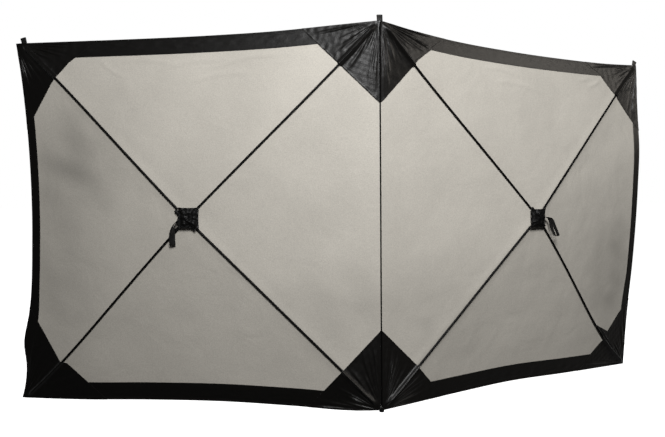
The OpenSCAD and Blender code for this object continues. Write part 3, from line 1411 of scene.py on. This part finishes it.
@dataclass
class GuyLoop:
    """A short loop of webbing that stands on the top hem.

    Attributes:
        name: The CAD node's name.
        side: The bay that it rides on.
        foot: The middle of its foot, in metres.
        along: The hem's direction, of length 1.
        lean: Its lean along the hem, in degrees.
        nod: Its lean to the front, in degrees.
        width: Width of the webbing, in millimetres.
        height: Height of the loop, in millimetres.
    """

    name: str
    side: Side
    foot: Array
    along: Array
    lean: float
    nod: float = 0.0
    width: float = 25.0
    height: float = 26.0

    def build(self) -> bpy.types.Object:
        """Makes the loop.

        Returns:
            The finished piece.
        """
        t = np.linspace(0, 1, 41)
        arc = np.sin(math.pi * np.clip((t - 0.5) * 1.15 + 0.5, 0, 1))
        up = self.height * np.sin(math.pi * t) ** 0.55
        deep = np.where(t < 0.5, -1, 1) * 4.6 * np.abs(np.cos(math.pi * t)) ** 0.45 * (0.35 + 0.65 * arc)
        along = self.along / np.linalg.norm(self.along)
        across = np.cross(along, [0, 0, 1])
        lean, nod = math.radians(self.lean), math.radians(self.nod)
        stand = math.cos(lean) * np.array([0, 0, 1.0]) + math.sin(lean) * along
        stand = math.cos(nod) * stand + math.sin(nod) * across
        strip = math.cos(lean) * along - math.sin(lean) * np.array([0, 0, 1.0])
        centre = self.foot + (up[:, None] * stand + deep[:, None] * across) * MM
        piece = ribbon(
            f"{self.name}_webbing",
            centre,
            np.broadcast_to(strip, centre.shape).copy(),
            self.width * MM,
            0.0019,
        )
        hand_over(piece, WEBBING, self.side.body, self.name)
        band = f"{self.side.word}_top_band_cloth"
        return piece


@dataclass
class PoleSet:
    """The four sprung poles of a bay and the caps on their ends.

    Attributes:
        cloth: The bay's cloth.
        lift: Height of a pole's middle in front of the cloth's middle, in millimetres.
        radius: A pole's radius.
        cap_radius: A cap's radius.
    """

    cloth: BayCloth
    lift: float = 8.5
    radius: float = 4.75
    cap_radius: float = 5.2

    def line(self, corner: Corner, start: float, end: float, count: int) -> Array:
        """Points of a pole's middle.

        Args:
            corner: The corner that the pole runs to.
            start: Distance from the hub of the first point.
            end: Distance from the corner of the last point.
            count: How many points.

        Returns:
            Points in metres, one a row.
        """
        away = np.array(corner.value) - HUB
        length = float(np.linalg.norm(away))
        away = away / length
        d = np.linspace(start, length - end, count)
        bend = self.cloth.pole_bend(corner, d / length)
        u = HUB[0] + away[0] * d - away[1] * bend
        z = HUB[1] + away[1] * d + away[0] * bend
        level = HUB_BOW * (1 - d / length) + CLOTH_BASE
        return self.cloth.place(u, z, level + self.lift)

    def build(self) -> list[bpy.types.Object]:
        """Makes the poles and their caps.

        Returns:
            The finished pieces.
        """
        side = self.cloth.side
        made = []
        for corner in RING:
            piece = rod(
                f"{side.word}_{corner.word}_pole_rod",
                self.line(corner, 62.5, 70.5, 31),
                self.radius * MM,
                24,
            )
            hand_over(piece, POLE, side.body, f"{side.word}_{corner.word}_pole")
            made.append(piece)
        caps = [
            rod(
                f"{side.word}_{corner.word}_cap",
                self.line(corner, self.reach(corner) - 71, 44, 11),
                self.cap_radius * MM * np.array([0.9, *[1] * 7, 0.94, 0.78, 0.4]),
            )
            for corner in RING
        ]
        joined = bmesh.new()
        for cap in caps:
            joined.from_mesh(cap.data)
            bpy.data.objects.remove(cap)
        tips = add_piece(f"{side.word}_pole_caps", joined)
        hand_over(tips, PLASTIC, side.body, f"{side.word}_pole_tips")
        return [*made, tips]

    def reach(self, corner: Corner) -> float:
        """Distance from the hub to a corner."""
        return float(np.linalg.norm(np.array(corner.value) - HUB))


@dataclass
class Bay:
    """One bay of the windbreak.

    Attributes:
        cloth: The shape of its cloth.
        patches: The long edges of its corner patches.
        creases: Creases in its light cloth.
        soil: Soft patches of painted shade in its light cloth.
        knot: Where its pad's gathers meet.
        pad_at: Its pad's place from the hub's middle.
        strap: Its pull strap.
        loop_lean: Lean of its guy loop, in degrees.
        loop_nod: Lean of its guy loop to the front, in degrees.
        seed: Picks its folds and unevenness.
    """

    cloth: BayCloth
    patches: dict[Corner, Knots]
    creases: tuple[Crease, ...]
    soil: tuple[tuple[float, float, float, float, float], ...]
    knot: tuple[float, float]
    pad_at: tuple[float, float]
    strap: PullStrap
    loop_lean: float
    loop_nod: float
    seed: int

    def build(self) -> list[bpy.types.Object]:
        """Makes the whole bay.

        Returns:
            The finished pieces.
        """
        side = self.cloth.side
        made = [LightPanel(self.cloth, self.creases, self.soil, self.seed).build()]
        made += [Band(self.cloth, b, self.seed + 20 + i).build() for i, b in enumerate(Border)]
        for i, (corner, edge) in enumerate(self.patches.items()):
            tight = side is Side.LEFT and corner is not Corner.BOTTOM_SEAM
            deep = TIGHT_FOLDS if tight else SLACK_FOLDS
            made.append(CornerPatch(self.cloth, corner, edge, self.seed + 40 + i, deep).build())
        made += PoleSet(self.cloth).build()
        made += HubPad(self.cloth, self.knot, self.pad_at, self.seed + 60).build()
        made.append(self.strap.build())
        ends = np.array([1656.0, 1680.0]) + (8 if side is Side.RIGHT else 0)
        line = self.cloth.on_cloth(ends, self.cloth.edge_z(ends, True) - 1, np.zeros(2))
        loop = GuyLoop(
            f"{side.word}_guy_loop",
            side,
            line.mean(axis=0),
            (line[1] - line[0]) / np.linalg.norm(line[1] - line[0]),
            self.loop_lean,
            self.loop_nod,
        )
        made.append(loop.build())
        dress(frame["nodes"][f"{side.word}_hub"], PLASTIC)
        return made


@dataclass
class Seam:
    """The corded seam between the bays, its foot and its guy loop.

    Attributes:
        top_shift: How far the seam's top leans along X, in millimetres.
        radius: Radius of the covered cord, in millimetres.
    """

    top_shift: float = -10.0
    radius: float = 3.5

    def build(self) -> list[bpy.types.Object]:
        """Makes the cord and the loop.

        Returns:
            The finished pieces.
        """
        z = np.linspace(10, 1692, 41)
        x = self.top_shift * (z - 17) / 1673
        cord = rod(
            "seam_piping_cord",
            np.column_stack([x, np.zeros_like(z), z]) * MM,
            self.radius * MM * np.array([0.7, *[1] * 39, 0.7]),
        )
        hand_over(cord, CORD_COVER, "left_bay", "seam_piping")
        loop = GuyLoop(
            "seam_guy_loop",
            Side.LEFT,
            np.array([self.top_shift, 0, 1694]) * MM,
            np.array([1.0, 0, 0]),
            -3,
        )
        dress(frame["nodes"]["seam_foot"], PLASTIC)
        return [cord, loop.build()]


def left_bay() -> Bay:
    """Sets up the left bay as it stands.

    Returns:
        The bay, ready to build.
    """
    stance = Stance(
        top=((0, 6), (200, -3), (450, -14), (750, -17), (1250, -11), (1700, -2)),
        bottom=((0, -9), (100, -14), (400, -1), (700, 10), (1050, 9), (1400, 1), (1700, 1)),
        outer=(
            (0, 20), (50, 5), (150, -7), (260, 4), (400, -26), (750, -50), (1200, -36), (1500, -2),
            (1650, 24),
        ),
        forward=((0, 0), (825, 6), (1650, 0)),
        moved={
            Corner.TOP_SEAM: (9.4, 3.5, 0),
            Corner.TOP_OUTER: (-20, -3, 0),
            Corner.BOTTOM_OUTER: (-20, 0, 0),
            Corner.BOTTOM_SEAM: (0, 0, 0),
            None: (-8, 0, 6),
        },
        top_width=76,
        bottom_width=82,
        bends={
            Corner.TOP_SEAM: 6,
            Corner.TOP_OUTER: 7,
            Corner.BOTTOM_OUTER: -14,
            Corner.BOTTOM_SEAM: 0,
        },
    )
    cloth = BayCloth(Side.LEFT, stance)
    strap = PullStrap(
        cloth,
        path=((880, 835, 130), (902, 805, 133), (911, 765, 126), (912, 730, 119)),
        twist=(96, 93, 38, 18),
        gap=(4, 9, 6, 8),
        width=26,
    )
    return Bay(
        cloth,
        patches={
            Corner.TOP_SEAM: ((345, 1680), (325, 1650), (3, 1345)),
            Corner.TOP_OUTER: ((1300, 1650), (1440, 1550), (1525, 1455), (1640, 1250)),
            Corner.BOTTOM_OUTER: ((1280, 10), (1465, 175), (1500, 185), (1660, 430)),
            Corner.BOTTOM_SEAM: ((330, 12), (3, 357)),
        },
        creases=(
            Crease((420, 1560), (760, 1500)),
            Crease((900, 1520), (1250, 1545), 2.4),
            Crease((560, 1480), (900, 1430), 2.6, 10),
            Crease((1290, 1560), (1150, 1470), 2.4),
            Crease((700, 1545), (1060, 1480), 2.4, 9),
        ),
        # Painted shade: soft darker patches on the light cloth, mostly on the outer gore.
        soil=(
            (1450, 1130, 170, 210, 0.3), (1480, 640, 150, 330, 0.17), (1250, 950, 120, 160, 0.1),
            (150, 430, 260, 170, 0.13), (1000, 420, 200, 60, 0.05),
        ),
        knot=(14, 2),
        pad_at=(-9, 5),
        strap=strap,
        loop_lean=14,
        loop_nod=0,
        seed=11,
    )


def right_bay() -> Bay:
    """Sets up the right bay as it stands.

    Returns:
        The bay, ready to build.
    """
    stance = Stance(
        top=((0, 6), (150, -12), (350, -28), (750, -37), (1150, -31), (1450, -19), (1700, 0)),
        bottom=((0, -10), (120, -5), (450, 9), (770, 19), (1200, 9), (1700, 1)),
        outer=((0, -2), (800, -8), (1250, -6), (1500, 0), (1650, 4)),
        forward=((0, 0), (280, 14), (550, 38), (1000, 56), (1200, 54), (1400, 29), (1650, 4)),
        moved={
            Corner.TOP_SEAM: (-9.4, -3.5, 0),
            Corner.TOP_OUTER: (12, 21, 0),
            Corner.BOTTOM_OUTER: (-11, -13, 0),
            Corner.BOTTOM_SEAM: (0, 0, 0),
            None: (-8, 0, -1),
        },
        top_width=67,
        bottom_width=83,
        bends={
            Corner.TOP_SEAM: 8,
            Corner.TOP_OUTER: 3,
            Corner.BOTTOM_OUTER: -34,
            Corner.BOTTOM_SEAM: 4,
        },
    )
    cloth = BayCloth(Side.RIGHT, stance)
    strap = PullStrap(
        cloth,
        path=((872, 840, 132), (907, 832, 142), (931, 785, 145), (948, 755, 146)),
        twist=(94, 96, 102, 106),
        gap=(6, 10, 20, 20),
    )
    return Bay(
        cloth,
        patches={
            Corner.TOP_SEAM: ((352, 1660), (190, 1542), (3, 1345)),
            Corner.TOP_OUTER: ((1285, 1640), (1390, 1573), (1690, 1290)),
            Corner.BOTTOM_OUTER: ((1290, 12), (1470, 160), (1405, 250), (1510, 205), (1690, 370)),
            Corner.BOTTOM_SEAM: ((352, 18), (3, 357)),
        },
        creases=(
            Crease((560, 1545), (860, 1500)),
            Crease((620, 1480), (960, 1440), 2.6, 10),
            Crease((1360, 1575), (1220, 1530), 4.0, 6),
            Crease((1400, 1550), (1270, 1500), 3.6, 6),
            Crease((1000, 1560), (1200, 1530), 2.4),
        ),
        # Painted shade: soft darker patches on the light cloth, mostly on the outer gore.
        soil=(
            (1500, 560, 170, 280, 0.22), (200, 430, 260, 170, 0.1),
            (1300, 400, 200, 60, 0.06),
        ),
        knot=(-4, 2),
        pad_at=(-5, -5),
        strap=strap,
        loop_lean=26,
        loop_nod=-10,
        seed=31,
    )


@dataclass(frozen=True)
class Lamp:
    """A square studio light.

    Attributes:
        name: Its name.
        at: Where it stands.
        aim: What it points at.
        size: Its side, in metres.
        power: Its power, in watts.
        colour: Its colour.
        spread: Angle of its beam, in degrees.
        lights: If given, it lights only pieces with a finish whose name starts so.
    """

    name: str
    at: tuple[float, float, float]
    aim: tuple[float, float, float]
    size: float
    power: float
    colour: tuple[float, float, float] = (1, 1, 1)
    spread: float = 180
    lights: str = ""

    def build(self) -> bpy.types.Object:
        """Makes the light.

        Returns:
            The light.
        """
        data = bpy.data.lights.new(self.name, "AREA")
        data.shape = "SQUARE"
        data.size, data.energy, data.color = self.size, self.power, self.colour
        data.spread = math.radians(self.spread)
        lamp = bpy.data.objects.new(self.name, data)
        bpy.context.scene.collection.objects.link(lamp)
        lamp.location = self.at
        away = Vector(self.aim) - Vector(self.at)
        lamp.rotation_euler = away.to_track_quat("-Z", "Y").to_euler()
        if self.lights:
            lit = bpy.data.collections.new(f"{self.name}_lit")
            for piece in bpy.context.scene.objects:
                slots = [slot.material.name for slot in piece.material_slots if slot.material]
                if any(name.startswith(self.lights) for name in slots):
                    lit.objects.link(piece)
            lamp.light_linking.receiver_collection = lit
        return lamp


@dataclass
class Studio:
    """The camera, the lights and the floor.

    Attributes:
        eye: Where the camera stands, in metres.
        yaw: Its turn to the right, in radians.
        pitch: Its tilt up, in radians.
        roll: Its roll, in radians.
        lens: Its focal length, in millimetres.
        lamps: The lights.
    """

    eye: tuple[float, float, float] = (-0.9061, -3.1686, 0.9691)
    yaw: float = 0.2136
    pitch: float = -0.0372
    roll: float = -0.0018
    lens: float = 41.13
    lamps: tuple[Lamp, ...] = (
        Lamp("key", (-0.66, -4.3, 3.64), (1.06, 0.3, 2.34), 1.6, 126, spread=114),
        Lamp("trim", (3.4, -1.0, 2.5), (0.8, 0.3, 1.3), 1.8, 38, (1, 0.93, 0.84), lights="black"),
        Lamp("rear", (0.4, 4.2, 3.2), (0, 0.3, 0.8), 2.0, 120),
    )

    def camera(self) -> None:
        """Makes the camera."""
        data = bpy.data.cameras.new("camera")
        data.lens, data.sensor_width, data.sensor_fit = self.lens, 36, "HORIZONTAL"
        seen = bpy.data.objects.new("camera", data)
        bpy.context.scene.collection.objects.link(seen)
        ahead = Vector(
            (
                math.sin(self.yaw) * math.cos(self.pitch),
                math.cos(self.yaw) * math.cos(self.pitch),
                math.sin(self.pitch),
            )
        )
        right = Vector((math.cos(self.yaw), -math.sin(self.yaw), 0))
        up = right.cross(ahead)
        across = right * math.cos(self.roll) + up * math.sin(self.roll)
        top = up * math.cos(self.roll) - right * math.sin(self.roll)
        turn = Matrix((across, top, -ahead)).transposed()
        seen.matrix_world = Matrix.Translation(self.eye) @ turn.to_4x4()
        bpy.context.scene.camera = seen

    def floor(self) -> None:
        """Makes the pale floor and lights it on its own."""
        bm = bmesh.new()
        bmesh.ops.create_grid(bm, x_segments=1, y_segments=1, size=40)
        mesh = bpy.data.meshes.new("floor")
        bm.to_mesh(mesh)
        bm.free()
        floor = bpy.data.objects.new("floor", mesh)
        bpy.context.scene.collection.objects.link(floor)
        floor.location.z = -0.0005
        finish = bpy.data.materials.new("floor")
        finish.use_nodes = True
        shader = finish.node_tree.nodes["Principled BSDF"]
        shader.inputs["Base Color"].default_value = (0.9, 0.9, 0.9, 1)
        shader.inputs["Roughness"].default_value = 0.9
        shader.inputs["Emission Color"].default_value = (1, 1, 1, 1)
        shader.inputs["Emission Strength"].default_value = 1.0
        mesh.materials.append(finish)
        floor.visible_diffuse = False
        floor.visible_glossy = False

    def surroundings(self) -> None:
        """Makes the white surroundings, which light the object only a little."""
        world = bpy.data.worlds.new("studio")
        bpy.context.scene.world = world
        world.use_nodes = True
        tree = world.node_tree
        ground = tree.nodes["Background"]
        ground.inputs["Color"].default_value = (1, 1, 1, 1)
        ground.inputs["Strength"].default_value = 1.0
        dim = add_node(tree, "ShaderNodeBackground", {"Color": (1, 1, 1, 1), "Strength": 0.02})
        ray = add_node(tree, "ShaderNodeLightPath")
        mix = add_node(tree, "ShaderNodeMixShader")
        tree.links.new(ray.outputs["Is Camera Ray"], mix.inputs[0])
        tree.links.new(dim.outputs[0], mix.inputs[1])
        tree.links.new(ground.outputs[0], mix.inputs[2])
        tree.links.new(mix.outputs[0], tree.nodes["World Output"].inputs["Surface"])

    def build(self) -> None:
        """Makes the whole studio."""
        self.camera()
        for lamp in self.lamps:
            lamp.build()
        self.floor()
        self.surroundings()
        bpy.context.scene.view_settings.view_transform = "Standard"


def main() -> None:
    """Builds the bays and the seam, logs their face counts, and builds the studio."""
    logging.basicConfig(level=logging.INFO, format="%(message)s")
    for part in (left_bay(), right_bay(), Seam()):
        for piece in part.build():
            log.info("%s: %d faces", piece.name, len(piece.data.polygons))
    Studio().build()


if __name__ == "__main__":
    main()
